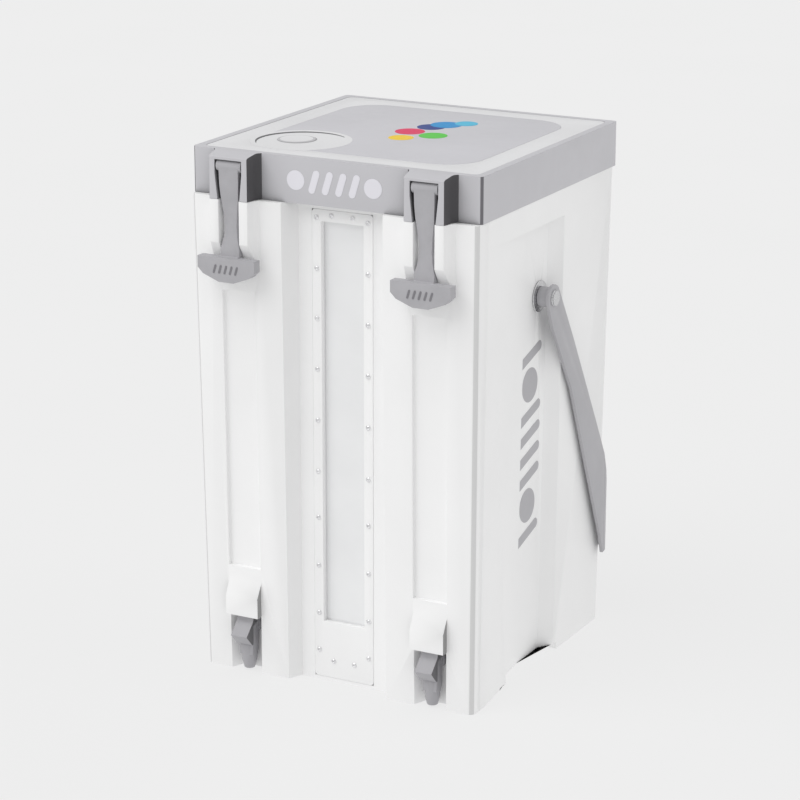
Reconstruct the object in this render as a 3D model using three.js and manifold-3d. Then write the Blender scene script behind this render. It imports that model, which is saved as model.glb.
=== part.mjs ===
// Upright insulated drinks cooler with two taps, a sight window, T-handle latches,
// a bail pull handle and two rear wheels.
// Millimetres, +Z up, front towards -Y, floor at z = 0. The origin is on the floor,
// under the centre of the whole object's box.
import * as THREE from 'three';
import { mergeVertices } from 'three/addons/utils/BufferGeometryUtils.js';
import Module from 'manifold-3d';

const wasm = await Module();
wasm.setup();

// ---------------------------------------------------------------- driving dimensions
const gap = 0.3;                 // clearance between touching pieces
const height = 640;
const lid = { bottom: 586, halfWidth: 187, halfDepth: 185, corner: 5 };
const body = {
  top: lid.bottom - gap,
  halfWidth: 186,                // side walls under the lid
  front: -192.3,                 // face of the two front columns under the lid
  back: 184,
  panel: -166,                   // face of the centre panel between the columns
  columnInner: 66,               // inner edge of a column at its face
  panelEdge: 57.5,               // foot of the column's inner bevel
  frontCorner: 8,
  rearCorner: 12,
  sideDraft: 6,
  frontDraft: 8.2,
  backDraft: 8,
};
const latchX = 126;              // latches and keepers stand at +-latchX
const tapX = 124.5;              // taps, their niches and hoods, and the channels above them
const boss = { front: -208, halfFront: 25, halfBase: 31.5, keeperLow: 535, keeperFoot: 505 };
const pocket = { half: 17.8, lowHalf: 14.6, back: -192, top: 632.6 };
const channel = { half: 22, depth: 5, low: 121, high: 475 };
const recess = { depth: 13, frontEdge: -150, deepest: 20, backEdge: 38, top: 553 };
const sightWindow = {
  half: 27.6, low: 75, high: 564,          // clear opening
  lensFace: -158, lensThick: 3,
  flangeHalf: 40, flangeLow: 4, flangeHigh: 578,
  tunnelHalf: 20, tunnelLow: 110, tunnelHigh: 540,
};
const ground = { footBack: -77, raise: 12, skirt: 3, padThick: 3 };
const niche = { half: 22, backHalf: 13.5, face: -187, back: -166, top: 73 };   // open below, with flared sides
const hood = { face: -195, low: 73, high: 97 };
const cavity = {
  half: 174, front: -172, panelFront: -148, back: 170, floor: 30, nicheTop: 86, humpFront: 80, humpTop: 92,
};
const tub = { half: 146, front: -126, back: 148, floor: 44, wall: 4, corner: 10, humpFront: 76, humpTop: 100 };
const rim = { low: 576, halfX: 172, front: -146, back: 168 };
const wheel = { y: 132, r: 40, rim: 27, width: 32, inner: 116, axleR: 5, boreR: 5.06 };
const well = { inner: 110, outer: 154, front: 84, top: 82 };
const tap = { z: 57, shankR: 10, flangeR: 12.5 };
const hinge = { y: 192, z: 586, rodR: 3, knuckleR: 6.5, half: 150 };
const latch = { y: -201.2, z: 625, barrelR: 6.8, barrelHalf: 16.2, pinR: 2.5, pinHalf: 22.5, strapRoom: 13.5 };
const pull = {
  y: -1, z: 462,                 // pivot of the handle
  inner: 187.8, thick: 4, back: 186.5, bend: 27,
  boltR: 5,
};

// ---------------------------------------------------------------- colours
const plastic = (color, roughness) => new THREE.MeshStandardMaterial({ color, roughness, metalness: 0 });
const metal = (color, roughness) => new THREE.MeshStandardMaterial({ color, roughness, metalness: 1 });
const white = plastic(0xf0f0ef, 0.55);
const liningWhite = plastic(0xf6f6f4, 0.4);
const foamCream = plastic(0xe8ddb8, 0.95);
const grey = plastic(0xb3b2b8, 0.55);
const rubberGrey = plastic(0x9d9ca2, 0.7);
const tapGrey = plastic(0x8b8a90, 0.5);
const darkRubber = plastic(0x2b2b2d, 0.85);
const sealGrey = plastic(0x6f6f73, 0.8);
const clear = new THREE.MeshStandardMaterial({
  color: 0xdfe3e6, roughness: 0.15, metalness: 0, transparent: true, opacity: 0.35,
});
const steel = metal(0xc4c5c8, 0.3);

// ---------------------------------------------------------------- solids
// A closed three.js geometry as a solid that can be cut and joined.
function solidOf(geometry) {
  geometry.deleteAttribute('normal');
  geometry.deleteAttribute('uv');
  const merged = mergeVertices(geometry, 1e-4);
  return new wasm.Manifold(new wasm.Mesh({
    numProp: 3,
    vertProperties: new Float32Array(merged.attributes.position.array),
    triVerts: new Uint32Array(merged.index.array),
  }));
}

function extrusion(points, depth) {
  const shape = new THREE.Shape(points.map(([a, b]) => new THREE.Vector2(a, b)));
  return new THREE.ExtrudeGeometry(shape, { depth, bevelEnabled: false, steps: 1 });
}

// Outline in X and Y, standing from z0 to z1.
function prismZ(points, z0, z1) {
  return solidOf(extrusion(points, z1 - z0).translate(0, 0, z0));
}

// Outline in Y and Z, running from x0 to x1.
function prismX(points, x0, x1) {
  const turn = new THREE.Matrix4().set(0, 0, 1, x0, 1, 0, 0, 0, 0, 1, 0, 0, 0, 0, 0, 1);
  return solidOf(extrusion(points, x1 - x0).applyMatrix4(turn));
}

// Outline in X and Z, running from y0 to y1.
function prismY(points, y0, y1) {
  const turn = new THREE.Matrix4().set(1, 0, 0, 0, 0, 0, -1, y1, 0, 1, 0, 0, 0, 0, 0, 1);
  return solidOf(extrusion(points, y1 - y0).applyMatrix4(turn));
}

function box(x0, x1, y0, y1, z0, z1) {
  const geometry = new THREE.BoxGeometry(x1 - x0, y1 - y0, z1 - z0);
  return solidOf(geometry.translate((x0 + x1) / 2, (y0 + y1) / 2, (z0 + z1) / 2));
}

function cylinderX(radius, x0, x1, y, z, sides = 32) {
  const geometry = new THREE.CylinderGeometry(radius, radius, x1 - x0, sides);
  return solidOf(geometry.rotateZ(Math.PI / 2).translate((x0 + x1) / 2, y, z));
}

function cylinderY(radius, y0, y1, x, z, sides = 32) {
  const geometry = new THREE.CylinderGeometry(radius, radius, y1 - y0, sides);
  return solidOf(geometry.translate(x, (y0 + y1) / 2, z));
}

function cylinderZ(topRadius, bottomRadius, z0, z1, x, y, sides = 32) {
  const geometry = new THREE.CylinderGeometry(topRadius, bottomRadius, z1 - z0, sides);
  return solidOf(geometry.rotateX(Math.PI / 2).translate(x, y, (z0 + z1) / 2));
}

const joined = (...solids) => solids.reduce((sum, solid) => sum.add(solid));
const cut = (solid, ...tools) => tools.reduce((rest, tool) => rest.subtract(tool), solid);

// Points of an arc from one angle to another, in degrees.
function arc(cx, cy, radius, from, to, steps = 5) {
  return Array.from({ length: steps + 1 }, (_, i) => {
    const angle = THREE.MathUtils.degToRad(from + ((to - from) * i) / steps);
    return [cx + radius * Math.cos(angle), cy + radius * Math.sin(angle)];
  });
}

// A rectangle with rounded corners, counter-clockwise.
function roundedBox(x0, x1, y0, y1, radius, steps = 5) {
  return [
    ...arc(x1 - radius, y0 + radius, radius, -90, 0, steps),
    ...arc(x1 - radius, y1 - radius, radius, 0, 90, steps),
    ...arc(x0 + radius, y1 - radius, radius, 90, 180, steps),
    ...arc(x0 + radius, y0 + radius, radius, 180, 270, steps),
  ];
}

// The right half of an outline, completed by its mirror image.
function mirrored(half) {
  return [...half, ...half.map(([x, y]) => [-x, y]).reverse()];
}

// Draft of the moulding: the outside leans inwards towards the floor.
function draftAt(x, y, z) {
  const drop = (lid.bottom - z) / lid.bottom;
  const side = Math.abs(x) > 100 + latchX / 2 ? -Math.sign(x) * body.sideDraft * drop : 0;
  const face = y < -172 ? body.frontDraft * drop : 0;
  const rear = y > 100 ? -body.backDraft * drop : 0;
  return [x + side, y + face + rear, z];
}

function drafted(points, z0, z1) {
  const geometry = extrusion(points, z1 - z0).translate(0, 0, z0);
  const position = geometry.attributes.position;
  for (let i = 0; i < position.count; i += 1) {
    position.setXYZ(i, ...draftAt(position.getX(i), position.getY(i), position.getZ(i)));
  }
  return solidOf(geometry);
}

// ---------------------------------------------------------------- parts list
const cooler = new THREE.Group();

function part(name, solid, material) {
  const { vertProperties, triVerts, numProp } = solid.getMesh();
  const count = vertProperties.length / numProp;
  const position = new Float32Array(count * 3);
  for (let i = 0; i < count; i += 1) {
    position.set(vertProperties.subarray(i * numProp, i * numProp + 3), i * 3);
  }
  const geometry = new THREE.BufferGeometry();
  geometry.setAttribute('position', new THREE.BufferAttribute(position, 3));
  geometry.setIndex(new THREE.BufferAttribute(new Uint32Array(triVerts), 1));
  geometry.computeVertexNormals();
  const mesh = new THREE.Mesh(geometry, material);
  mesh.name = name;
  cooler.add(mesh);
}

const sides = [['left', -1], ['right', 1]];

// ---------------------------------------------------------------- outer shell
const shellOutline = mirrored([
  [body.panelEdge, body.panel],
  [body.columnInner, body.front],
  ...arc(body.halfWidth - body.frontCorner, body.front + body.frontCorner, body.frontCorner, -90, 0, 4),
  ...arc(body.halfWidth - body.rearCorner, body.back - body.rearCorner, body.rearCorner, 0, 90, 5),
]);

// The plan of a latch boss: steep sides that run out in a hollow curve at the base.
function bossPlan(x, wall) {
  const flank = [[boss.halfFront + 1.6, wall - 8], [boss.halfFront + 3.2, wall - 3.5],
    [boss.halfBase, wall], [boss.halfBase, wall + 8]];
  return [
    ...[...flank].reverse().map(([half, y]) => [x - half, y]),
    [x - boss.halfFront, boss.front],
    [x + boss.halfFront, boss.front],
    ...flank.map(([half, y]) => [x + half, y]),
  ];
}

// The keeper under a lid boss: flush above, sloping back to the column below.
function keeper(x) {
  const inside = body.front + 10;
  const profile = [
    [inside, boss.keeperFoot - 14],
    [boss.front, boss.keeperLow],
    [boss.front, body.top],
    [inside, body.top],
  ];
  return prismZ(bossPlan(x, body.front), boss.keeperFoot - 16, body.top)
    .intersect(prismX(profile, x - 40, x + 40));
}

// The hood over a tap, with a sloping top.
function tapHood(x) {
  const inside = body.front + 14;
  const profile = [[inside, hood.low], [hood.face, hood.low], [hood.face, hood.high], [inside, hood.high + 34]];
  return prismX(profile, x - niche.half, x + niche.half);
}

// The niche that a tap stands in, flared towards the front.
function tapNiche(x) {
  return prismZ(mirrored([
    [niche.backHalf, niche.back], [niche.half, niche.face], [niche.half, -220],
  ]).map(([u, y]) => [x + u, y]).reverse(), -2, niche.top);
}

// The side recess that the handle's eye stands in: it deepens gently towards the
// back and ends in a bevel.
function sideRecess(sign) {
  const outside = body.halfWidth + 12;
  const outline = [
    [body.halfWidth, recess.frontEdge],
    [outside, recess.frontEdge],
    [outside, recess.backEdge],
    [body.halfWidth, recess.backEdge],
    [body.halfWidth - recess.depth, recess.deepest],
    [body.halfWidth - recess.depth, recess.deepest - 60],
  ].map(([x, y]) => [sign * x, y]);
  return drafted(sign > 0 ? outline : outline.reverse(), -2, recess.top);
}

const shellCavity = joined(
  prismZ(mirrored([
    [68, cavity.panelFront],
    [78, cavity.front],
    [cavity.half - 8, cavity.front],
    [cavity.half - 16, cavity.front + 36],
    [cavity.half - 16, cavity.humpFront],
  ]), cavity.nicheTop, rim.low),
  box(-cavity.half + 16, cavity.half - 16, cavity.panelFront, cavity.humpFront, cavity.floor, cavity.nicheTop + 1),
  prismZ(mirrored([
    [cavity.half - 16, -40],
    [cavity.half - 16, 40],
    [cavity.half, 52],
    [cavity.half, cavity.back - 10],
    [cavity.half - 10, cavity.back],
  ]), cavity.humpTop, rim.low),
);
const shellMouth = prismZ(roundedBox(-rim.halfX, rim.halfX, rim.front, rim.back, 20), rim.low - 1, 600);

const windowRecess = joined(
  box(-sightWindow.flangeHalf, sightWindow.flangeHalf, body.panel - 5, body.panel + 3,
    sightWindow.flangeLow, sightWindow.flangeHigh),
  box(-sightWindow.half - 5, sightWindow.half + 5, body.panel, sightWindow.lensFace + 5,
    sightWindow.low - 5, sightWindow.high + 5),
);
const windowTunnel = box(-sightWindow.tunnelHalf - 5, sightWindow.tunnelHalf + 5, -160, tub.front - 2,
  sightWindow.tunnelLow - 5, sightWindow.tunnelHigh + 5);

function wheelWell(sign) {
  const [x0, x1] = sign > 0 ? [well.inner, well.outer] : [-well.outer, -well.inner];
  return box(x0, x1, well.front, 210, -2, well.top);
}

// Knuckles of the lid hinge, at the middle of each span, alternating body and lid.
const bodyKnuckles = [[-hinge.half, -110], [-24, 24], [110, hinge.half]];
const lidKnuckles = [[-109.5, -70], [70, 109.5]];

function bodyKnuckle([x0, x1]) {
  return joined(
    cylinderX(hinge.knuckleR, x0, x1, hinge.y, hinge.z, 24),
    prismX([[180, hinge.z - 30], [hinge.y, hinge.z - hinge.knuckleR], [hinge.y, hinge.z - 3],
      [180, hinge.z - 3]], x0, x1),
  );
}

function lidKnuckle([x0, x1]) {
  return joined(
    cylinderX(hinge.knuckleR, x0, x1, hinge.y, hinge.z, 24),
    prismX([[182, hinge.z + 1], [hinge.y, hinge.z + 1], [hinge.y, hinge.z + hinge.knuckleR],
      [182, hinge.z + 24]], x0, x1),
  );
}

const rodBore = cylinderX(hinge.rodR + gap, -200, 200, hinge.y, hinge.z, 24);
const knuckleRoom = (spans) => joined(...spans.map(([x0, x1]) => (
  cylinderX(hinge.knuckleR + 1, x0 - 0.5, x1 + 0.5, hinge.y, hinge.z, 24)
)));

let shell = drafted(shellOutline, 0, body.top);
for (const [, sign] of sides) {
  const latchAt = sign * latchX;
  const x = sign * tapX;
  shell = joined(shell, keeper(latchAt), tapHood(x));
  shell = cut(
    shell,
    sideRecess(sign),
    wheelWell(sign),
    drafted(roundedBox(x - channel.half, x + channel.half, -220, body.front + channel.depth, 1, 1),
      channel.low + 12, channel.high),
    box(latchAt - latch.strapRoom, latchAt + latch.strapRoom, boss.front - 5, -196, 480, 600),
    tapNiche(x),
    cylinderY(tap.shankR + gap, -220, -100, x, tap.z),
    cylinderX(pull.boltR + gap, sign > 0 ? 150 : -200, sign > 0 ? 200 : -150, pull.y, pull.z),
  );
}
shell = joined(shell, ...bodyKnuckles.map(bodyKnuckle));
shell = cut(
  shell,
  shellCavity,
  shellMouth,
  windowRecess,
  windowTunnel,
  box(-200, 200, ground.footBack, 48, -2, ground.raise),
  box(-200, 200, 40, 210, -2, ground.skirt),
  box(-well.inner + 8, well.inner - 8, well.front, 168, -2, well.top - 6),
  cylinderX(wheel.axleR + gap, -164, 164, wheel.y, wheel.r),
  rodBore,
  knuckleRoom(lidKnuckles),
  ...sides.map(([, sign]) => box(sign * 140 - 34, sign * 140 + 34, -154, -84, -2, ground.padThick - 1)),
);

// The two front columns are nodes of their own, cut off at the back of the niches.
function columnSide(sign) {
  const [x0, x1] = sign > 0 ? [body.panelEdge, 250] : [-250, -body.panelEdge];
  return box(x0, x1, -250, niche.back, -10, 700);
}
part('outer_shell', cut(shell, columnSide(1), columnSide(-1)), white);
for (const [side, sign] of sides) {
  part(`front_column_${side}`, shell.intersect(columnSide(sign)), white);
}

// ---------------------------------------------------------------- feet under the front
for (const [side, sign] of sides) {
  const x = sign * 140;
  const pad = prismZ(roundedBox(x - 33, x + 33, -153, -85, 8), 0, ground.padThick - 1 - gap);
  part(`foot_pad_${side}`, pad, darkRubber);
}

// ---------------------------------------------------------------- inner tub
// The tub's inside, or its outside when grown by the wall. The floor steps up over
// the wheels, from stepFront backwards.
function tubBlock(grow, top, stepFront) {
  const plan = roundedBox(-tub.half - grow, tub.half + grow, tub.front - grow, tub.back + grow,
    tub.corner + grow);
  const full = prismZ(plan, tub.floor - grow, top);
  const step = box(-200, 200, stepFront, 200, tub.floor - grow - 1, tub.humpTop - grow);
  return cut(full, step);
}
const tunnelCollar = box(-sightWindow.tunnelHalf - 4.5, sightWindow.tunnelHalf + 4.5,
  sightWindow.lensFace + 7, tub.front - 1, sightWindow.tunnelLow - 4.5, sightWindow.tunnelHigh + 4.5);
const tunnelHole = box(-sightWindow.tunnelHalf, sightWindow.tunnelHalf, -170, tub.front + 10,
  sightWindow.tunnelLow, sightWindow.tunnelHigh);
const linerRim = prismZ(roundedBox(-rim.halfX + gap, rim.halfX - gap, rim.front + gap, rim.back - gap, 19.7),
  rim.low + gap, body.top - 1);
const shankHoles = joined(...sides.map(([, sign]) => (
  cylinderY(tap.shankR + gap, -180, -100, sign * tapX, tap.z)
)));
const liner = cut(
  joined(tubBlock(tub.wall, body.top - 1, tub.humpFront - tub.wall), linerRim, tunnelCollar),
  tubBlock(0, 600, tub.humpFront),
  tunnelHole,
  shankHoles,
);
part('inner_liner', liner, liningWhite);

// ---------------------------------------------------------------- foam between the walls
const foam = cut(
  joined(
    prismZ(mirrored([
      [68.4, cavity.panelFront + gap],
      [78.3, cavity.front + gap],
      [cavity.half - 8.4, cavity.front + gap],
      [cavity.half - 16 - gap, cavity.front + 36],
      [cavity.half - 16 - gap, cavity.humpFront - gap],
    ]), cavity.nicheTop + gap, rim.low - gap),
    box(-cavity.half + 16 + gap, cavity.half - 16 - gap, cavity.panelFront + gap, cavity.humpFront - gap,
      cavity.floor + gap, cavity.nicheTop + 1),
    prismZ(mirrored([
      [cavity.half - 16 - gap, -40],
      [cavity.half - 16 - gap, 40.4],
      [cavity.half - gap, 52.4],
      [cavity.half - gap, cavity.back - 10.4],
      [cavity.half - 10.4, cavity.back - gap],
    ]), cavity.humpTop + gap, rim.low - gap),
  ),
  tubBlock(tub.wall + gap, 600, tub.humpFront - tub.wall + gap),
  box(-sightWindow.tunnelHalf - 5, sightWindow.tunnelHalf + 5, -170, tub.front,
    sightWindow.tunnelLow - 5, sightWindow.tunnelHigh + 5),
  shankHoles,
);
part('foam_core', foam, foamCream);

// ---------------------------------------------------------------- sight window
const lensPlate = box(-sightWindow.half - 4.5, sightWindow.half + 4.5, sightWindow.lensFace,
  sightWindow.lensFace + sightWindow.lensThick, sightWindow.low - 4.5, sightWindow.high + 4.5);
part('window_lens', lensPlate, clear);
const gasketFace = sightWindow.lensFace + sightWindow.lensThick + gap;
const windowGasket = cut(
  box(-sightWindow.half - 4.5, sightWindow.half + 4.5, gasketFace, sightWindow.lensFace + 5 - gap,
    sightWindow.low - 4.5, sightWindow.high + 4.5),
  box(-sightWindow.half + 1, sightWindow.half - 1, gasketFace - 1, sightWindow.lensFace + 6,
    sightWindow.low + 1, sightWindow.high - 1),
);
part('window_gasket', windowGasket, sealGrey);
const frameFace = body.panel - 0.6;
const windowFrame = cut(
  joined(
    prismY(roundedBox(-sightWindow.flangeHalf + gap, sightWindow.flangeHalf - gap,
      sightWindow.flangeLow + gap, sightWindow.flangeHigh - gap, 4, 3), frameFace, body.panel + 3 - gap),
    box(-sightWindow.half - 4.4, sightWindow.half + 4.4, body.panel, sightWindow.lensFace - gap,
      sightWindow.low - 4.4, sightWindow.high + 4.4),
  ),
  box(-sightWindow.half, sightWindow.half, frameFace - 2, sightWindow.lensFace + 1,
    sightWindow.low, sightWindow.high),
);
part('window_frame', windowFrame, white);

// ---------------------------------------------------------------- taps
// Each tap stands in its niche; distances forward are counted from the niche's back.
const forward = (distance) => niche.back - distance;
const leverPin = { y: forward(14), z: tap.z + 11, radius: 2 };
const spout = { y: forward(12), z: 3, radius: 9, boreR: 4.5 };
for (const [side, sign] of sides) {
  const x = sign * tapX;
  const washer = cut(
    cylinderY(tap.flangeR, forward(2.2), forward(gap), x, tap.z),
    cylinderY(tap.shankR + gap, -220, -150, x, tap.z),
  );
  part(`tap_washer_${side}`, washer, sealGrey);

  const valve = joined(
    cylinderY(tap.shankR, forward(8), -108, x, tap.z),
    cylinderY(tap.flangeR, forward(5.5), forward(2.5), x, tap.z),
    prismX([
      [forward(5), tap.z - 32], [forward(9), tap.z - 38], [forward(20), tap.z - 36],
      [forward(17), tap.z], [forward(11), tap.z + 4], [forward(5), tap.z + 2],
    ], x - spout.radius, x + spout.radius),
    prismX([
      [forward(10.5), tap.z - 2], [forward(17), tap.z], [forward(17), leverPin.z + 3],
      [forward(11.5), leverPin.z + 3],
    ], x - 5.5, x + 5.5),
    cylinderZ(spout.radius, spout.radius - 2.5, spout.z, spout.z + 9, x, spout.y, 24),
    cylinderZ(spout.radius, spout.radius, spout.z + 9, tap.z - 22, x, spout.y, 24),
  );
  const waterway = joined(
    cylinderY(5, spout.y, -100, x, tap.z, 20),
    cylinderZ(spout.boreR, spout.boreR, 0, tap.z, x, spout.y, 20),
  );
  const pinBore = cylinderX(leverPin.radius + gap, x - 20, x + 20, leverPin.y, leverPin.z, 16);
  part(`tap_valve_${side}`, cut(valve, waterway, pinBore), tapGrey);

  const nut = cut(
    cylinderY(13, tub.front + gap, tub.front + 9, x, tap.z, 6),
    cylinderY(tap.shankR + gap, -140, -100, x, tap.z),
  );
  part(`tap_nut_${side}`, nut, tapGrey);

  const leverSide = [
    [forward(12.5), tap.z + 14.8], [forward(20), tap.z + 13.2], [forward(21.5), tap.z + 8],
    [forward(37), tap.z - 7], [forward(24), tap.z - 21], [forward(21), tap.z - 21],
    [forward(20.5), tap.z + 4], [forward(12), tap.z + 6.8],
  ];
  const lever = cut(
    prismX(leverSide, x - 11, x + 11),
    box(x - 5.8, x + 5.8, forward(18.8), forward(0), tap.z - 10, tap.z + 30),
    pinBore,
  );
  part(`tap_lever_${side}`, lever, tapGrey);
  part(`tap_pin_${side}`, cylinderX(leverPin.radius, x - 11.6, x + 11.6, leverPin.y, leverPin.z, 16), steel);
}

// ---------------------------------------------------------------- wheels
const axleEnd = well.outer + 6;
part('axle', cylinderX(wheel.axleR, -axleEnd, axleEnd, wheel.y, wheel.r), steel);
for (const [side, sign] of sides) {
  const span = (a, b) => (sign > 0 ? [a, b] : [-b, -a]);
  const outer = wheel.inner + wheel.width;
  const hubBore = cylinderX(wheel.boreR, ...span(100, 170), wheel.y, wheel.r, 48);
  const hub = cut(
    joined(
      cylinderX(wheel.rim, ...span(wheel.inner + 3, outer - 3), wheel.y, wheel.r, 36),
      cylinderX(11, ...span(wheel.inner - 3, outer + 3), wheel.y, wheel.r, 24),
    ),
    cut(
      cylinderX(wheel.rim - 4, ...span(outer - 12, outer), wheel.y, wheel.r, 36),
      cylinderX(14, ...span(outer - 14, outer + 1), wheel.y, wheel.r, 24),
    ),
    hubBore,
  );
  part(`wheel_hub_${side}`, hub, grey);
  const tyre = cut(
    joined(
      cylinderX(wheel.r, ...span(wheel.inner + 5, outer - 5), wheel.y, wheel.r, 44),
      cylinderX(wheel.r - 4, ...span(wheel.inner, outer), wheel.y, wheel.r, 44),
    ),
    cylinderX(wheel.rim + gap, ...span(wheel.inner - 5, outer + 5), wheel.y, wheel.r, 36),
  );
  part(`wheel_tyre_${side}`, tyre, darkRubber);
}

// ---------------------------------------------------------------- lid
const lidPlan = roundedBox(-lid.halfWidth, lid.halfWidth, -lid.halfDepth, lid.halfDepth, lid.corner, 4);
const topInlay = { deep: 2, corner: 8, half: 177, front: -176, back: 176 };
const topField = { corner: 46, half: 146, front: -146, back: 146 };

let lidShell = joined(prismZ(lidPlan, lid.bottom, height), ...lidKnuckles.map(lidKnuckle));
for (const [, sign] of sides) {
  const x = sign * latchX;
  const sloped = prismX([
    [-175, lid.bottom], [boss.front, lid.bottom], [boss.front, height - 4.5], [boss.front + 2, height - 3],
    [-190, height], [-175, height],
  ], x - 40, x + 40);
  const pocketFront = [
    [pocket.half, pocket.top], [pocket.half, latch.z - 9], [pocket.lowHalf, lid.bottom], [pocket.lowHalf, 560],
  ];
  const pocketOutline = mirrored(pocketFront).map(([u, z]) => [x + u, z]).reverse();
  lidShell = joined(lidShell, prismZ(bossPlan(x, -lid.halfDepth), lid.bottom, height).intersect(sloped));
  lidShell = cut(
    lidShell,
    prismY(pocketOutline, -230, pocket.back),
    cylinderX(latch.pinR + gap, x - latch.pinHalf - 0.5, x + latch.pinHalf + 0.5, latch.y, latch.z, 20),
  );
}
lidShell = cut(
  lidShell,
  prismZ(roundedBox(-178, 178, -174, 176, 8), lid.bottom - 1, height - 6),
  prismZ(roundedBox(-topInlay.half, topInlay.half, topInlay.front, topInlay.back, topInlay.corner),
    height - topInlay.deep, height + 5),
  rodBore,
  knuckleRoom(bodyKnuckles),
);
part('lid_shell', lidShell, grey);

const inlayLow = height - topInlay.deep + gap;
const inlayPlan = roundedBox(-topInlay.half + gap, topInlay.half - gap, topInlay.front + gap,
  topInlay.back - gap, topInlay.corner);
const fieldPlan = (grow) => roundedBox(-topField.half - grow, topField.half + grow,
  topField.front - grow, topField.back + grow, topField.corner + grow, 8);
const band = cut(prismZ(inlayPlan, inlayLow, height - 0.2), prismZ(fieldPlan(gap), 600, 700));
part('lid_band', band, white);
part('lid_field', prismZ(fieldPlan(0), inlayLow, height), grey);

const plugPlan = roundedBox(-tub.half + 3, tub.half - 3, tub.front + 4, tub.back - 3, tub.corner - 3);
const linerPlate = lid.bottom + 4;
const sealRing = { half: 160, front: -138, back: 160, width: 6 };
const ringPlan = (grow) => roundedBox(-sealRing.half - grow, sealRing.half + grow,
  sealRing.front - grow, sealRing.back + grow, 20 + grow);
const lidLiner = cut(
  joined(
    prismZ(roundedBox(-177.7, 177.7, -173.7, 175.7, 7.7), lid.bottom, linerPlate),
    prismZ(plugPlan, lid.bottom - 22, linerPlate),
  ),
  cut(prismZ(ringPlan(gap), lid.bottom - 1, lid.bottom + 2.5), prismZ(ringPlan(-sealRing.width - gap), 500, 700)),
);
part('lid_liner', lidLiner, liningWhite);
part('lid_seal', cut(prismZ(ringPlan(0), lid.bottom, lid.bottom + 2.2), prismZ(ringPlan(-sealRing.width), 500, 700)),
  sealGrey);
part('lid_foam', prismZ(roundedBox(-177.7, 177.7, -173.7, 175.7, 7.7), linerPlate + gap, height - 6 - gap),
  foamCream);

part('hinge_rod', cylinderX(hinge.rodR, -hinge.half - 2, hinge.half + 2, hinge.y, hinge.z, 24), steel);

// ---------------------------------------------------------------- latches
// The rubber latch: a barrel on the pin, a waisted strap that dips into the keeper,
// and a six-sided T-handle that stands forward of it.
const strapHalf = [
  [12.8, latch.z], [12.6, 606], [11.6, 590], [8.6, 566], [7.8, 554], [9, 542], [12.4, 528], [12.8, 512],
];
const strapSide = [
  [-207.6, latch.z], [-206.6, 600], [-203.4, 562], [-203.6, 546], [-207.5, 520], [-213, 518], [-213, 500],
  [-200, 500], [-198.6, 525], [-197.2, 550], [-197.2, 570], [-199.2, 600], [-200.4, latch.z],
];
const handleHalf = [[38, 519], [38, 505.5], [31, 498.5], [10, 490.5]];
const handleDepth = { face: -216, back: -203.5 };
for (const [side, sign] of sides) {
  const x = sign * latchX;
  const outline = (half) => mirrored(half).map(([u, z]) => [x + u, z]).reverse();
  const strap = prismY(outline(strapHalf), -230, -190)
    .intersect(prismX(strapSide, x - 40, x + 40));
  const handle = prismY(outline(handleHalf), handleDepth.face, handleDepth.back);
  const solid = cut(
    joined(
      strap,
      handle,
      cylinderX(latch.barrelR, x - latch.barrelHalf, x + latch.barrelHalf, latch.y, latch.z, 28),
    ),
    cylinderX(latch.pinR + gap, x - 30, x + 30, latch.y, latch.z, 20),
  );
  part(`latch_${side}`, solid, rubberGrey);
  part(`latch_pin_${side}`, cylinderX(latch.pinR, x - latch.pinHalf, x + latch.pinHalf, latch.y, latch.z, 20),
    steel);
}

// ---------------------------------------------------------------- pull handle
// Two flat arms, narrow at their eyes, carry a yoke bent round the back of the body.
const outerX = pull.inner + pull.thick;
const outerY = pull.back + pull.thick;
const uPlan = [
  [-outerX, -40],
  ...arc(-outerX + pull.bend + pull.thick, outerY - pull.bend - pull.thick, pull.bend + pull.thick, 180, 90, 8),
  ...arc(outerX - pull.bend - pull.thick, outerY - pull.bend - pull.thick, pull.bend + pull.thick, 90, 0, 8),
  [outerX, -40],
  [pull.inner, -40],
  ...arc(pull.inner - pull.bend, pull.back - pull.bend, pull.bend, 0, 90, 8),
  ...arc(-pull.inner + pull.bend, pull.back - pull.bend, pull.bend, 90, 180, 8),
  [-pull.inner, -40],
];
const grip = { half: 78, low: 96, high: 122, holeTop: 160 };
const bladeSide = [
  ...arc(pull.y, pull.z, 16, 40, 205, 8),
  [-2, 425], [54, 337], [150, 121], [158, grip.low], [230, grip.low],
  [230, 188], [172, 188], [157, 228], [129, 277], [57, 399],
];
const bail = cut(
  prismZ([...uPlan].reverse(), 80, 500).intersect(prismX(bladeSide, -250, 250)),
  box(-grip.half, grip.half, 170, 210, grip.high, grip.holeTop),
  ...sides.map(([, sign]) => cylinderX(pull.boltR + gap, sign > 0 ? 180 : -200, sign > 0 ? 200 : -180,
    pull.y, pull.z)),
);
const seam = pull.back - pull.bend;
part('pull_yoke', bail.intersect(box(-250, 250, seam, 250, 0, 600)), grey);
for (const [side, sign] of sides) {
  const region = sign > 0 ? box(100, 250, -100, seam - gap, 0, 600) : box(-250, -100, -100, seam - gap, 0, 600);
  part(`pull_arm_${side}`, bail.intersect(region), grey);
}

const gripOutline = roundedBox(pull.back - 2.5, outerY + 5, grip.low - 6, grip.high + 4, 5, 4);
const gripSlot = box(-200, 200, pull.back - gap, outerY + gap, grip.low - gap, grip.high + gap);
part('handle_grip', cut(prismX(gripOutline, -grip.half + 4, grip.half - 4), gripSlot), rubberGrey);

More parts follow.
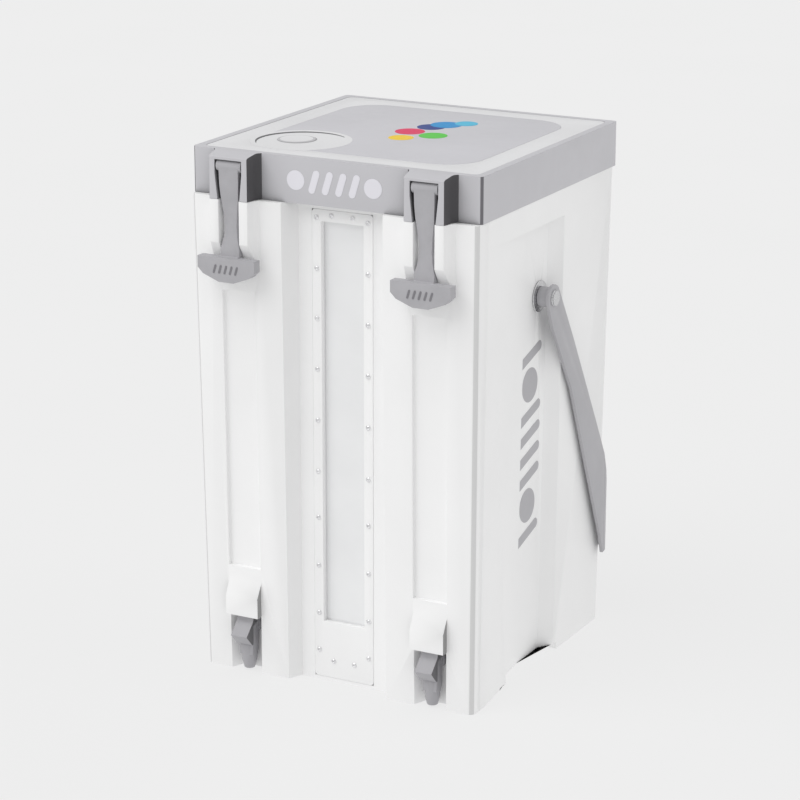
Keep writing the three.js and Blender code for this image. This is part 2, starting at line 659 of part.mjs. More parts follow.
for (const [side, sign] of sides) {
  const span = (a, b) => (sign > 0 ? [a, b] : [-b, -a]);
  const wallX = draftAt(body.halfWidth - recess.depth, 0, pull.z)[0];
  const bore = cylinderX(pull.boltR + gap, ...span(150, 200), pull.y, pull.z);
  const ring = cut(cylinderX(19, ...span(wallX + gap, wallX + 2.3), pull.y, pull.z, 40), bore);
  part(`pivot_plate_${side}`, ring, steel);
  const spacer = cut(cylinderX(12, ...span(wallX + 2.6, pull.inner - gap), pull.y, pull.z, 32), bore);
  part(`pivot_spacer_${side}`, spacer, grey);
  const bolt = joined(
    cylinderX(pull.boltR, ...span(cavity.half - 15, outerX + gap + 0.5), pull.y, pull.z),
    cylinderX(9, ...span(outerX + gap, outerX + 3), pull.y, pull.z, 24),
  );
  part(`pivot_bolt_${side}`, bolt, steel);
}

// The frame's origin is under the centre of the whole box, from the face of the
// T-handles to the back of the hinge.
const frontMost = handleDepth.face;
const backMost = hinge.y + hinge.knuckleR;
cooler.position.y = -(frontMost + backMost) / 2;
cooler.updateMatrixWorld(true);

export default cooler;
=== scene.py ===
"""Looks of the wheeled drinks cooler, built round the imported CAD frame. Metres."""
import math

import bmesh
import bpy
from mathutils import Matrix, Vector


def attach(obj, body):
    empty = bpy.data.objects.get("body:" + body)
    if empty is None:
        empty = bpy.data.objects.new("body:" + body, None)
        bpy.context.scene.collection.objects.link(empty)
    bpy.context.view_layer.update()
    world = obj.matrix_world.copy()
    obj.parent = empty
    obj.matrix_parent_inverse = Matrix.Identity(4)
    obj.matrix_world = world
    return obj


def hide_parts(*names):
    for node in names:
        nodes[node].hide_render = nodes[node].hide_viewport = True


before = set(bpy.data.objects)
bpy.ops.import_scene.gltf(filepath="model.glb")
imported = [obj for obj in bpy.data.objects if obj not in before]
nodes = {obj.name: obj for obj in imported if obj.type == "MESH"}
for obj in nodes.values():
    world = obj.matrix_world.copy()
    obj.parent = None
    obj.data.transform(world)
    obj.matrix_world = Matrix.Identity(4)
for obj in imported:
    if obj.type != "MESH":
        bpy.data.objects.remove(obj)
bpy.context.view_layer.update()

MM = 0.001
SIDES = (("left", -1), ("right", 1))


# ---------------------------------------------------------------- materials
def new_material(name):
    """A node material with its tree and its main shader."""
    material = bpy.data.materials.new(name)
    material.use_nodes = True
    tree = material.node_tree
    return material, tree, tree.nodes["Principled BSDF"]


def object_coordinates(tree):
    return tree.nodes.new("ShaderNodeTexCoord").outputs["Object"]


def noise(tree, coordinates, scale, detail=2.0, roughness=0.5):
    """A 0..1 noise value over the given coordinates."""
    node = tree.nodes.new("ShaderNodeTexNoise")
    node.inputs["Scale"].default_value = scale
    node.inputs["Detail"].default_value = detail
    node.inputs["Roughness"].default_value = roughness
    tree.links.new(coordinates, node.inputs["Vector"])
    return node.outputs["Fac"]


def ramp(tree, value, low, high, at=(0.3, 0.7)):
    """Maps a 0..1 value to a grey or a colour between two ends."""
    node = tree.nodes.new("ShaderNodeValToRGB")
    for stop, place, colour in zip(node.color_ramp.elements, at, (low, high)):
        stop.position = place
        stop.color = (colour, colour, colour, 1) if isinstance(colour, float) else (*colour, 1)
    tree.links.new(value, node.inputs["Fac"])
    return node.outputs["Color"]


def bump(tree, height, distance, strength=1.0, below=None):
    """A surface relief, laid over the relief below when one is given."""
    node = tree.nodes.new("ShaderNodeBump")
    node.inputs["Strength"].default_value = strength
    node.inputs["Distance"].default_value = distance
    tree.links.new(height, node.inputs["Height"])
    if below is not None:
        tree.links.new(below, node.inputs["Normal"])
    return node.outputs["Normal"]


def painted_hollow_shade(tree, colour, distance, darkest):
    """Paints shade into a colour: darker in hollows and close corners by ambient occlusion; darkest
    is the tone kept at the bottom.
    """
    hollow = tree.nodes.new("ShaderNodeAmbientOcclusion")
    hollow.inputs["Distance"].default_value = distance
    hollow.samples = 8
    shade = ramp(tree, hollow.outputs["AO"], float(darkest), 1.0, (0.15, 0.9))
    mix = tree.nodes.new("ShaderNodeMixRGB")
    mix.blend_type = "MULTIPLY"
    mix.inputs["Fac"].default_value = 1.0
    tree.links.new(colour, mix.inputs["Color1"])
    tree.links.new(shade, mix.inputs["Color2"])
    return mix.outputs["Color"]


def tinted(colour, share):
    """A colour made lighter or darker by a share."""
    return tuple(min(1.0, c * share) for c in colour)


def moulded_plastic(name, colour, rough=(0.42, 0.56), grain=1400, grain_depth=0.00003,
                    wave_depth=0.0002, variation=0.03, specular=0.4, hollow=None):
    """Plastic with a fine moulded grain, a slight waviness and a faint change of tone.

    hollow is a pair (distance, tone) for painted shade that darkens its close corners."""
    material, tree, shader = new_material(name)
    where = object_coordinates(tree)
    broad = noise(tree, where, 9, 3)
    fine = noise(tree, where, grain, 2)
    patches = noise(tree, where, 60, 4, 0.6)
    base = ramp(tree, broad, tinted(colour, 1 - variation), tinted(colour, 1 + variation))
    if hollow:
        base = painted_hollow_shade(tree, base, *hollow)
    tree.links.new(base, shader.inputs["Base Color"])
    tree.links.new(ramp(tree, patches, *rough), shader.inputs["Roughness"])
    waves = bump(tree, noise(tree, where, 26, 2), wave_depth, 0.25)
    tree.links.new(bump(tree, fine, grain_depth, 0.35, waves), shader.inputs["Normal"])
    shader.inputs["Specular IOR Level"].default_value = specular
    return material


def rubber(name, colour, grain=2200):
    """Matt rubber with a fine grain and faint bloom."""
    material, tree, shader = new_material(name)
    where = object_coordinates(tree)
    bloom = noise(tree, where, 45, 4, 0.65)
    tree.links.new(ramp(tree, bloom, tinted(colour, 0.95), tinted(colour, 1.06)),
                   shader.inputs["Base Color"])
    tree.links.new(ramp(tree, bloom, 0.62, 0.78), shader.inputs["Roughness"])
    tree.links.new(bump(tree, noise(tree, where, grain, 2), 0.00004, 0.5), shader.inputs["Normal"])
    shader.inputs["Specular IOR Level"].default_value = 0.35
    return material


def brushed_metal(name, colour, axis_scale=(40, 900, 900)):
    """Bright metal with fine brushed streaks."""
    material, tree, shader = new_material(name)
    mapping = tree.nodes.new("ShaderNodeMapping")
    mapping.inputs["Scale"].default_value = axis_scale
    tree.links.new(object_coordinates(tree), mapping.inputs["Vector"])
    streaks = noise(tree, mapping.outputs["Vector"], 1, 3)
    tree.links.new(ramp(tree, streaks, tinted(colour, 0.85), tinted(colour, 1.08)),
                   shader.inputs["Base Color"])
    tree.links.new(ramp(tree, streaks, 0.2, 0.38), shader.inputs["Roughness"])
    tree.links.new(bump(tree, streaks, 0.00002, 0.4), shader.inputs["Normal"])
    shader.inputs["Metallic"].default_value = 1.0
    return material


def frosted_window(name):
    """A thick pale polycarbonate pane, frosted behind a polished face."""
    material, tree, shader = new_material(name)
    where = object_coordinates(tree)
    haze = noise(tree, where, 14, 3)
    tree.links.new(ramp(tree, haze, (0.84, 0.845, 0.85), (0.88, 0.885, 0.89)),
                   shader.inputs["Base Color"])
    tree.links.new(ramp(tree, noise(tree, where, 120, 3), 0.28, 0.36), shader.inputs["Roughness"])
    tree.links.new(bump(tree, noise(tree, where, 70, 2), 0.0001, 0.15), shader.inputs["Normal"])
    shader.inputs["Coat Weight"].default_value = 0.4
    shader.inputs["Coat Roughness"].default_value = 0.08
    return material


def foam_material(name, colour):
    """Matt foam with small open cells."""
    material, tree, shader = new_material(name)
    where = object_coordinates(tree)
    cells = tree.nodes.new("ShaderNodeTexVoronoi")
    cells.inputs["Scale"].default_value = 900
    tree.links.new(where, cells.inputs["Vector"])
    tree.links.new(ramp(tree, noise(tree, where, 30, 3), tinted(colour, 0.92), colour),
                   shader.inputs["Base Color"])
    tree.links.new(bump(tree, cells.outputs["Distance"], 0.0004, 0.6), shader.inputs["Normal"])
    tree.links.new(ramp(tree, noise(tree, where, 200, 2), 0.85, 0.95), shader.inputs["Roughness"])
    return material


WHITE = moulded_plastic("shell_white", (0.93, 0.93, 0.93), variation=0.015)
# Painted shade: a dark grey laid on the narrow hood sides beside the taps.
HOOD_PAINTED_SHADE = moulded_plastic("hood_painted_shade", (0.30, 0.30, 0.30), variation=0.02)
# Painted shade: a mid grey laid on the shell's upright front corners.
SHELL_CORNER_SHADE = moulded_plastic("shell_corner_shade", (0.70, 0.70, 0.70), variation=0.015)
LINER = moulded_plastic("liner_white", (0.88, 0.88, 0.875), rough=(0.3, 0.42), grain_depth=0.00001)
# The lid grey carries painted shade: ambient occlusion darkens it in close corners and hollows.
LID_GREY = moulded_plastic("lid_grey", (0.57, 0.565, 0.59), rough=(0.45, 0.58), grain=1100,
                           grain_depth=0.00005, hollow=(0.035, 0.12))
# Painted shade: a dark grey laid on the lid's upright corners and side top edges.
LID_CORNER_SHADE = moulded_plastic("lid_corner_shade", (0.16, 0.155, 0.17), rough=(0.45, 0.58), grain=1100,
                           grain_depth=0.00005)
# Painted shade: a near black laid on the hollow flanks of the latch bosses.
LID_PAINTED_SHADE = moulded_plastic("lid_painted_shade", (0.085, 0.083, 0.088), rough=(0.5, 0.6), grain=1100,
                            grain_depth=0.00005, specular=0.2)
BAND_WHITE = moulded_plastic("band_white", (0.76, 0.76, 0.77), rough=(0.42, 0.52))
# Painted shade: a dark grey laid on the side faces of the tap levers.
TAP_PAINTED_SHADE = moulded_plastic("tap_painted_shade", (0.13, 0.128, 0.135), rough=(0.4, 0.5), grain=1800)
TAP_GREY = moulded_plastic("tap_grey", (0.40, 0.395, 0.415), rough=(0.35, 0.48), grain=1800)
HANDLE_GREY = moulded_plastic("handle_grey", (0.46, 0.455, 0.475), rough=(0.4, 0.55))
WHEEL_GREY = moulded_plastic("wheel_grey", (0.3, 0.3, 0.31), rough=(0.4, 0.5))
LATCH_RUBBER = rubber("latch_rubber", (0.44, 0.435, 0.455))
BLACK_RUBBER = rubber("black_rubber", (0.03, 0.03, 0.032))
TYRE_RUBBER = rubber("tyre_rubber", (0.34, 0.335, 0.35))
SEAL_RUBBER = rubber("seal_rubber", (0.16, 0.16, 0.165))
STEEL = brushed_metal("steel", (0.62, 0.62, 0.63))
WINDOW = frosted_window("window_clear")
FOAM = foam_material("foam", (0.82, 0.74, 0.5))
FIELD_GREY = moulded_plastic("field_grey", (0.60, 0.595, 0.625), rough=(0.45, 0.58), grain=1100,
                             grain_depth=0.00005)
SCREW_STEEL = brushed_metal("screw_steel", (0.86, 0.86, 0.87))
MARK_LIGHT = moulded_plastic("mark_light", (0.80, 0.79, 0.84), variation=0.02)
MARK_GREY = moulded_plastic("mark_grey", (0.46, 0.455, 0.475), variation=0.02)
MARK_MID = moulded_plastic("mark_mid", (0.34, 0.335, 0.35), variation=0.02)
MARK_SOFT = moulded_plastic("mark_soft", (0.55, 0.545, 0.56), variation=0.02)
RIB_RUBBER = rubber("rib_rubber", (0.22, 0.215, 0.23))
MARK_DARK = moulded_plastic("mark_dark", (0.10, 0.10, 0.105), variation=0.05)
INKS = {
    "yellow": moulded_plastic("ink_yellow", (0.90, 0.62, 0.02)),
    "red": moulded_plastic("ink_red", (0.75, 0.03, 0.12)),
    "green": moulded_plastic("ink_green", (0.10, 0.60, 0.06)),
    "navy": moulded_plastic("ink_navy", (0.02, 0.05, 0.25)),
    "blue": moulded_plastic("ink_blue", (0.01, 0.28, 0.62)),
    "cyan": moulded_plastic("ink_cyan", (0.08, 0.50, 0.72)),
}


# ---------------------------------------------------------------- mesh helpers
def set_material(obj, material):
    """Gives an object one material."""
    obj.data.materials.clear()
    obj.data.materials.append(material)


def object_from(mesh, name, material, body, replaced=()):
    """An object that rides with a body and may stand in for CAD nodes."""
    obj = bpy.data.objects.new(name, mesh)
    bpy.context.scene.collection.objects.link(obj)
    set_material(obj, material)
    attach(obj, body)
    if replaced:
        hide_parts(*replaced)
    return obj


def apply_modifiers(obj):
    """Replaces the mesh by its modified form, so nothing is left to evaluate."""
    graph = bpy.context.evaluated_depsgraph_get()
    mesh = bpy.data.meshes.new_from_object(obj.evaluated_get(graph))
    obj.modifiers.clear()
    obj.data = mesh


def smooth_shading(obj, angle=40):
    """Shades an object smooth, with edges steeper than the angle kept sharp."""
    obj.data.polygons.foreach_set("use_smooth", [True] * len(obj.data.polygons))
    obj.data.set_sharp_from_angle(angle=math.radians(angle))


def clean_copy(node, angle, seam, join_faces):
    """A CAD node's solid, its corners marked for rounding except along a seam."""
    mesh = nodes[node].data.copy()
    work = bmesh.new()
    work.from_mesh(mesh)
    bmesh.ops.remove_doubles(work, verts=work.verts, dist=1e-5)
    if join_faces:
        bmesh.ops.dissolve_limit(work, angle_limit=math.radians(0.03),
                                 verts=work.verts, edges=work.edges)
    weight = work.edges.layers.float.new("bevel_weight_edge")
    for edge in work.edges:
        corner = len(edge.link_faces) == 2 and edge.calc_face_angle(0) > math.radians(angle)
        on_seam = seam is not None and all(seam(vert.co) for vert in edge.verts)
        edge[weight] = 1.0 if corner and not on_seam else 0.0
    work.to_mesh(mesh)
    work.free()
    return mesh


def rounded(node, body, material, radius, segments=3, angle=28, seam=None, join_faces=True):
    """A moulded piece on a CAD node's shape, with its corners rounded."""
    obj = bpy.data.objects.new(node + "_moulded", clean_copy(node, angle, seam, join_faces))
    bpy.context.scene.collection.objects.link(obj)
    bevel = obj.modifiers.new("rounding", "BEVEL")
    bevel.width = radius
    bevel.segments = segments
    bevel.limit_method = "WEIGHT"
    bevel.miter_outer = "MITER_ARC"
    apply_modifiers(obj)
    smooth_shading(obj)
    set_material(obj, material)
    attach(obj, body)
    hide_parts(node)
    return obj


SMALL_FACE = 0.004               # square metres: the large walls stay out of paint_shade_on_faces


def paint_shade_on_faces(obj, material, picked):
    """Paints shade: the smaller faces that are picked by normal and place get a darker tone of their
    own.
    """
    obj.data.materials.append(material)
    for face in obj.data.polygons:
        if face.area < SMALL_FACE and picked(face.normal, face.center):
            face.material_index = len(obj.data.materials) - 1


def lever_side(normal, _centre):
    """The two side faces of a tap lever, which get a dark painted shade."""
    return abs(normal.x) > 0.8


# ---------------------------------------------------------------- frame of the drawing
SHIFT = 8.75                     # the drawing's front-to-back origin, in the frame
NICHE_BACK = -166                # where the front columns join the rest of the shell
PANEL_EDGE = 57.5                # the centre panel's half width at that plane
LATCH_X = 126                    # the latches and their bosses, left and right of the middle
TAP_X = 124.5                    # the taps, likewise
T_FACE = -215.8                  # front of a T-handle
LID_FACE = -184.9                # front of the lid
LID_TOP = 639.7
FRAME_FACE = -166.6              # front of the window frame
PIVOT = {"cap": 192.1, "y": -1, "z": 462}


def at(x, y, z):
    """A point given in the drawing's millimetres."""
    return Vector((x * MM, (y + SHIFT) * MM, z * MM))


def piece(name, work, material, body, replaced=(), angle=40):
    """A finished bmesh as one smooth-shaded object that rides with a body."""
    bmesh.ops.recalc_face_normals(work, faces=work.faces)
    mesh = bpy.data.meshes.new(name)
    work.to_mesh(mesh)
    work.free()
    obj = object_from(mesh, name, material, body, replaced)
    smooth_shading(obj, angle)
    return obj


def add_lathe(work, centre, axis, profile, sides=40):
    """Adds a turned solid: profile is (distance along the axis, radius) in mm."""
    axis = Vector(axis).normalized()
    across = axis.orthogonal().normalized()
    other = axis.cross(across)
    rings = []
    for along, radius in profile:
        if radius <= 0:
            rings.append([work.verts.new(centre + axis * along * MM)])
            continue
        ring = []
        for i in range(sides):
            turn = 2 * math.pi * i / sides
            out = across * math.cos(turn) + other * math.sin(turn)
            ring.append(work.verts.new(centre + axis * along * MM + out * radius * MM))
        rings.append(ring)
    for low, high in zip(rings, rings[1:]):
        for i in range(sides):
            j = (i + 1) % sides
            corners = [low[i % len(low)], low[j % len(low)], high[j % len(high)], high[i % len(high)]]
            unique = list(dict.fromkeys(corners))
            if len(unique) > 2:
                work.faces.new(unique)
    for ring in (rings[0], rings[-1]):
        if len(ring) > 2:
            work.faces.new(ring)


def add_plate(work, outline, place, thickness):
    """Adds a thin plate: outline in mm, place maps (a, b, height) to a point."""
    low = [work.verts.new(place(a, b, 0)) for a, b in outline]
    high = [work.verts.new(place(a, b, thickness)) for a, b in outline]
    work.faces.new(low)
    work.faces.new(high)
    for i in range(len(outline)):
        j = (i + 1) % len(outline)
        work.faces.new([low[i], low[j], high[j], high[i]])


def circle(a, b, radius, count=40, start=0.0, end=360.0):
    """Points on a circle, or on an arc with both of its ends."""
    span = end - start
    steps = count if span == 360 else count + 1
    return [(a + radius * math.cos(math.radians(start + span * i / count)),
             b + radius * math.sin(math.radians(start + span * i / count))) for i in range(steps)]


def stroke(a0, b0, a1, b1, width):
    """A straight stroke with round ends."""
    lean = math.degrees(math.atan2(b1 - b0, a1 - a0))
    half = width / 2
    return (circle(a1, b1, half, 8, lean - 90, lean + 90)
            + circle(a0, b0, half, 8, lean + 90, lean + 270))


# ---------------------------------------------------------------- big mouldings
def column_seam(point):
    """Where the front columns meet the rest of the shell they are moulded with."""
    near = 0.02 * MM
    back = (NICHE_BACK + SHIFT) * MM
    on_back = abs(point.y - back) < near
    on_side = abs(abs(point.x) - PANEL_EDGE * MM) < near and point.y < back + near
    return on_back or on_side


def lid_corner(normal, centre):
    """The lid's upright corners and the top edges of its two sides, which get a dark painted shade.
    """
    outside = abs(centre.x) > 0.18
    upright = abs(normal.x) > 0.35 and abs(normal.y) > 0.35 and abs(normal.z) < 0.3
    top_edge = abs(normal.x) > 0.3 and normal.z > 0.3 and abs(normal.y) < 0.3
    return outside and (upright or top_edge)


def boss_flank(normal, centre):
    """The hollow flanks of the two bosses that carry the latches, which get a near-black painted
    shade.
    """
    off_centre = abs(abs(centre.x) - LATCH_X * MM)
    beside = 0.0235 < off_centre < 0.036 and -0.1995 < centre.y < -0.1755
    return beside and abs(normal.z) < 0.3 and abs(normal.x) > 0.25


def shell_corner(normal, centre):
    """The upright front corners of the shell, which get a grey painted shade."""
    return (abs(centre.x) > 0.17 and centre.y < -0.16 and abs(normal.z) < 0.2
            and abs(normal.x) > 0.45 and normal.y < -0.4)


def hood_side(normal, centre):
    """The two narrow side faces of the hood over a tap, which get a dark painted shade."""
    beside = abs(abs(abs(centre.x) - TAP_X * MM) - 0.0215) < 0.003
    proud = centre.y < (NICHE_BACK - 20 + SHIFT) * MM
    return beside and proud and abs(normal.x) > 0.8 and 0.074 < centre.z < 0.135


rounded("outer_shell", "base", WHITE, 0.003, seam=column_seam)
for side, sign in SIDES:
    column = rounded(f"front_column_{side}", "base", WHITE, 0.003, seam=column_seam)
    # Painted shade on the upright front corners.
    paint_shade_on_faces(column, SHELL_CORNER_SHADE, shell_corner)
    # Painted shade on the hood sides.
    paint_shade_on_faces(column, HOOD_PAINTED_SHADE, hood_side)
rounded("window_frame", "base", WHITE, 0.001, join_faces=False)
lid_moulded = rounded("lid_shell", "lid", LID_GREY, 0.0022)
# Painted shade on the lid's upright corners and side top edges.
paint_shade_on_faces(lid_moulded, LID_CORNER_SHADE, lid_corner)
# Painted shade on the hollow flanks of the latch bosses.
paint_shade_on_faces(lid_moulded, LID_PAINTED_SHADE, boss_flank)
rounded("lid_band", "lid", BAND_WHITE, 0.0004, segments=2)
rounded("lid_field", "lid", FIELD_GREY, 0.0004, segments=2)
rounded("lid_liner", "lid", LINER, 0.0015)
rounded("inner_liner", "base", LINER, 0.0015)
rounded("pull_yoke", "handle", HANDLE_GREY, 0.0012)
rounded("handle_grip", "handle", LATCH_RUBBER, 0.001)
for side, sign in SIDES:
    rounded(f"pull_arm_{side}", "handle", HANDLE_GREY, 0.0012)
    rounded(f"latch_{side}", f"latch_{side}", LATCH_RUBBER, 0.0013)
    rounded(f"tap_valve_{side}", "base", TAP_GREY, 0.0008)
    lever = rounded(f"tap_lever_{side}", f"tap_lever_{side}", TAP_GREY, 0.001)
    # Painted shade on the lever's side faces.
    paint_shade_on_faces(lever, TAP_PAINTED_SHADE, lever_side)
    rounded(f"foot_pad_{side}", "base", BLACK_RUBBER, 0.0006, segments=2)
    rounded(f"tap_nut_{side}", "base", TAP_GREY, 0.0008)
    rounded(f"pivot_plate_{side}", "base", STEEL, 0.0009)
    rounded(f"pivot_spacer_{side}", "base", HANDLE_GREY, 0.0006, segments=2)

for node, material in {
    "foam_core": FOAM, "lid_foam": FOAM, "window_lens": WINDOW, "window_gasket": SEAL_RUBBER,
    "lid_seal": SEAL_RUBBER, "axle": STEEL, "hinge_rod": STEEL,
}.items():
    set_material(nodes[node], material)
for side, sign in SIDES:
    for node, material in {
        "latch_pin": STEEL, "tap_washer": SEAL_RUBBER, "tap_pin": STEEL, "pivot_bolt": STEEL,
    }.items():
        set_material(nodes[f"{node}_{side}"], material)


# ---------------------------------------------------------------- window screws
def screw_head(work, centre, axis, radius=3.2, height=1.7):
    """A round button head with a round driver socket."""
    add_lathe(work, centre, axis, [
        (-0.4, 0), (-0.4, radius), (0.2, radius), (height * 0.62, radius * 0.86),
        (height * 0.92, radius * 0.6), (height, radius * 0.42), (height * 0.9, radius * 0.36),
        (0.5, radius * 0.34), (0.4, 0),
    ], 20)


def window_screws():
    """Screws down both sides of the window frame, and two across each end."""
    work = bmesh.new()
    for height in (568, 508, 448, 387, 325, 262, 205, 145, 85, 38):
        for x in (-33.5, 33.5):
            screw_head(work, at(x, FRAME_FACE, height), (0, -1, 0))
    for x in (-14, 14):
        for height in (26, 571.5):
            screw_head(work, at(x, FRAME_FACE, height), (0, -1, 0))
    piece("window_screws", work, SCREW_STEEL, "base")


window_screws()


# ---------------------------------------------------------------- wheels
WHEEL = {"y": 132, "z": 40, "radius": 40, "rim": 27, "inner": 116, "width": 32}
WHEEL_SHARP = 35                 # degrees: steeper edges on a wheel stay sharp


def wheel_tyre(side, sign):
    """A tyre with a crowned tread, two grooves and rows of cross cuts."""
    work = bmesh.new()
    start = at(sign * WHEEL["inner"], WHEEL["y"], WHEEL["z"])
    outer, bead, width = WHEEL["radius"], WHEEL["rim"] + 0.3, WHEEL["width"]
    half_profile = [(5.4, bead), (0.4, outer - 7), (0.0, outer - 5), (1.2, outer - 4),
                    (4.4, outer - 3.6), (6.2, outer - 0.6), (10.4, outer - 0.1),
                    (10.8, outer - 2), (12.0, outer - 2), (12.4, outer)]
    profile = half_profile + [(width - along, radius) for along, radius in reversed(half_profile)]
    sides = 72
    axis = Vector((sign, 0, 0))
    rings = []
    for along, radius in profile:
        ring = []
        for i in range(sides):
            turn = 2 * math.pi * i / sides
            cut = 1.3 if radius > outer - 0.7 and i % 3 == 0 else 0.0
            offset = Vector((0, math.cos(turn), math.sin(turn))) * (radius - cut) * MM
            ring.append(work.verts.new(start + axis * along * MM + offset))
        rings.append(ring)
    for low, high in zip(rings, rings[1:] + rings[:1]):
        for i in range(sides):
            j = (i + 1) % sides
            work.faces.new([low[i], low[j], high[j], high[i]])
    piece(f"tyre_{side}", work, TYRE_RUBBER, f"wheel_{side}",
          (f"wheel_tyre_{side}",), WHEEL_SHARP)


def wheel_hub(side, sign):
    """A moulded hub: a rim, a boss on the axle and six spokes over a web."""
    work = bmesh.new()
    centre = at(sign * WHEEL["inner"], WHEEL["y"], WHEEL["z"])
    axis = Vector((sign, 0, 0))
    rim, width = WHEEL["rim"], WHEEL["width"]
    profile = [(-3, 5.2), (-3, 10.4), (-2.4, 11), (3, 11), (3, rim - 1), (4, rim),
               (width - 4, rim), (width - 3, rim - 1), (width - 3, rim - 3.2),
               (width - 3.8, rim - 4), (width - 12, rim - 4.4), (width - 12, 13.6),
               (width - 2, 11.6), (width + 2.2, 11), (width + 3, 10.2), (width + 3, 5.2)]
    sides = 60
    rings = [[work.verts.new(centre + axis * along * MM
                             + Vector((0, math.cos(t), math.sin(t))) * radius * MM)
              for t in (2 * math.pi * i / sides for i in range(sides))] for along, radius in profile]
    for low, high in zip(rings, rings[1:] + rings[:1]):
        for i in range(sides):
            j = (i + 1) % sides
            work.faces.new([low[i], low[j], high[j], high[i]])
    for spoke in range(6):
        turn = math.pi / 3 * spoke + 0.2
        out = Vector((0, math.cos(turn), math.sin(turn)))
        over = axis.cross(out)

        def place(a, b, height, out=out, over=over):
            return centre + out * a * MM + over * b * MM + axis * (width - 12.3 + height) * MM

        add_plate(work, [(12.5, -2.2), (rim - 4, -3.0), (rim - 4, 3.0), (12.5, 2.2)], place, 6.5)
    piece(f"hub_{side}", work, WHEEL_GREY, f"wheel_{side}",
          (f"wheel_hub_{side}",), WHEEL_SHARP)


for side, sign in SIDES:
    wheel_tyre(side, sign)
    wheel_hub(side, sign)


# ---------------------------------------------------------------- fasteners
def bolt_caps():
    """Domed caps with a driver socket on the handle's pivot bolts."""
    for side, sign in SIDES:
        work = bmesh.new()
        centre = at(sign * PIVOT["cap"], PIVOT["y"], PIVOT["z"])
        add_lathe(work, centre, (sign, 0, 0), [
            (-0.2, 0), (-0.2, 9.8), (0.5, 9.9), (1.4, 9.4), (2.1, 8.2),
            (2.6, 6.0), (2.7, 4.4), (2.5, 3.9), (1.2, 3.6), (1.1, 0),
        ], 40)
        piece(f"pivot_cap_{side}", work, STEEL, "base")


bolt_caps()


# ---------------------------------------------------------------- graphics
def grip_ribs():
    """Slanting ribs moulded on the face of each T-handle."""
    for side, sign in SIDES:
        work = bmesh.new()
        for i in range(5):
            a = -15 + 7.2 * i

            def place(u, v, height, sign=sign):
                return at(sign * LATCH_X + u, T_FACE - height, v)

            add_plate(work, stroke(a - 1.2, 501.5, a + 1.2, 509.5, 2.4), place, 0.7)
        piece(f"grip_ribs_{side}", work, RIB_RUBBER, f"latch_{side}")


def front_emblem():
    """A plain light mark on the lid's front: leaning strokes between two discs."""
    work = bmesh.new()

    def place(a, b, height):
        return at(a, LID_FACE - height, b)

    add_plate(work, circle(-50, 613, 11.5), place, 0.35)
    for i in range(4):
        a = -26 + 17.4 * i
        add_plate(work, stroke(a - 3, 603.5, a + 3, 622.5, 8.5), place, 0.35)
    add_plate(work, circle(50, 613, 11.5), place, 0.35)
    piece("front_emblem", work, MARK_LIGHT, "lid")


def side_emblem():
    """The same plain mark run up each side wall, in grey."""
    for side, sign in SIDES:
        work = bmesh.new()

        def place(a, b, height, sign=sign):
            wall = 173 - 6 * (586 - b) / 586
            return at(sign * (wall - 0.15 + height), sign * a - 20, b)

        for b in (208, 358):
            add_plate(work, circle(0, b, 21), place, 0.4)
        for b in (172, 244, 270, 296, 322, 394):
            add_plate(work, stroke(-24, b - 7, 24, b + 7, 12), place, 0.4)
        piece(f"side_emblem_{side}", work, MARK_GREY, "base")


def arc_band(a, b, radius, start, end, thick, count=24):
    """A crescent along an arc, thickest at its middle."""
    outer, inner = [], []
    for i in range(count + 1):
        share = i / count
        turn = math.radians(start + (end - start) * share)
        half = thick * math.sin(math.pi * share) / 2 + 0.3
        outer.append((a + (radius + half) * math.cos(turn), b + (radius + half) * math.sin(turn)))
        inner.append((a + (radius - half) * math.cos(turn), b + (radius - half) * math.sin(turn)))
    return outer + inner[::-1]


def lid_graphics():
    """A pale round patch with a dark arc and a ringed disc, and six coloured discs."""
    def place(a, b, height):
        return at(a, b, LID_TOP + height)

    def inlay(name, outline, height, material):
        work = bmesh.new()
        add_plate(work, outline, place, height)
        piece(name, work, material, "lid")

    inlay("pale_patch", circle(-92, -98, 60, 72), 0.45, BAND_WHITE)
    inlay("dark_arc", arc_band(-88, -103, 54, 218, 52, 5.5), 0.7, MARK_DARK)
    inlay("disc_shade", circle(-98, -97, 23.5), 0.55, MARK_MID)
    inlay("disc_rim", circle(-100, -95, 22.5), 0.62, MARK_SOFT)
    inlay("disc_face", circle(-100.5, -94, 19.5), 0.8, BAND_WHITE)
    for name, a, b, radius, height in (
        ("yellow", 4, -30, 15, 0.50), ("red", -4, 8, 18, 0.54), ("green", 32, -2, 17, 0.58),
        ("navy", 6, 44, 17, 0.62), ("blue", 16, 64, 19, 0.66), ("cyan", 34, 82, 14, 0.70),
    ):
        inlay(f"dot_{name}", circle(a, b, radius), height, INKS[name])


grip_ribs()
front_emblem()
side_emblem()
lid_graphics()


# ---------------------------------------------------------------- studio
def floor_material():
    """A plain pale floor that glows a little, so that it stays even out to the horizon."""
    material, tree, shader = new_material("studio_floor")
    where = object_coordinates(tree)
    tree.links.new(ramp(tree, noise(tree, where, 2, 2), (0.12, 0.12, 0.12), (0.125, 0.125, 0.125)),
                   shader.inputs["Base Color"])
    shader.inputs["Emission Color"].default_value = (1, 1, 1, 1)
    shader.inputs["Emission Strength"].default_value = 0.735
    shader.inputs["Roughness"].default_value = 1.0
    shader.inputs["Specular IOR Level"].default_value = 0.0
    return material


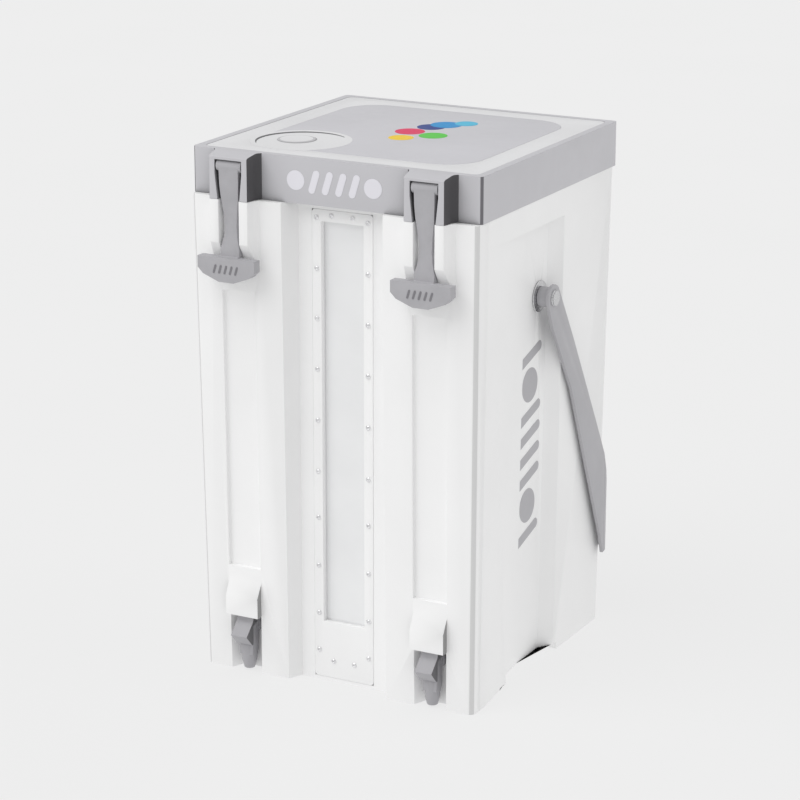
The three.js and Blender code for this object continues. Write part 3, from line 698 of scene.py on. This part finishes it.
def studio_floor():
    """The ground plane."""
    mesh = bpy.data.meshes.new("studio_floor")
    half = 40.0
    mesh.from_pydata([(-half, -half, 0), (half, -half, 0), (half, half, 0), (-half, half, 0)], [],
                     [(0, 1, 2, 3)])
    floor = bpy.data.objects.new("studio_floor", mesh)
    bpy.context.scene.collection.objects.link(floor)
    set_material(floor, floor_material())


def sun(name, azimuth, elevation, strength, angle):
    """A soft sun from a compass side: azimuth 0 is the front, 90 the right."""
    data = bpy.data.lights.new(name, "SUN")
    data.energy = strength
    data.angle = math.radians(angle)
    lamp = bpy.data.objects.new(name, data)
    bpy.context.scene.collection.objects.link(lamp)
    a, e = math.radians(azimuth), math.radians(elevation)
    towards = Vector((math.sin(a) * math.cos(e), -math.cos(a) * math.cos(e), math.sin(e)))
    lamp.rotation_euler = towards.to_track_quat("Z", "Y").to_euler()


def studio():
    """The floor, an even white sky, and two soft suns."""
    studio_floor()
    world = bpy.data.worlds.new("studio")
    world.use_nodes = True
    world.node_tree.nodes["Background"].inputs["Color"].default_value = (1, 1, 1, 1)
    world.node_tree.nodes["Background"].inputs["Strength"].default_value = 0.62
    bpy.context.scene.world = world
    sun("key", -35, 50, 1.1, 50)
    sun("right_fill", 120, 35, 0.42, 60)
    bpy.context.scene.view_settings.view_transform = "Standard"


def camera():
    """A long lens, a little to the right of the front and a little above the lid."""
    yaw, pitch, roll = (math.radians(a) for a in (27.735, 16.549, 0.071))
    forward = Vector((-math.sin(yaw) * math.cos(pitch), math.cos(yaw) * math.cos(pitch),
                      -math.sin(pitch)))
    level = Vector((math.cos(yaw), math.sin(yaw), 0))
    upright = level.cross(forward)
    right = math.cos(roll) * level + math.sin(roll) * upright
    up = math.cos(roll) * upright - math.sin(roll) * level
    data = bpy.data.cameras.new("camera")
    data.sensor_width = 36
    data.lens = 126
    data.clip_end = 200
    shot = bpy.data.objects.new("camera", data)
    bpy.context.scene.collection.objects.link(shot)
    turn = Matrix((right, up, -forward)).transposed().to_4x4()
    shot.matrix_world = Matrix.Translation((1.50983, -2.88689, 1.28074)) @ turn
    bpy.context.scene.camera = shot


studio()
camera()
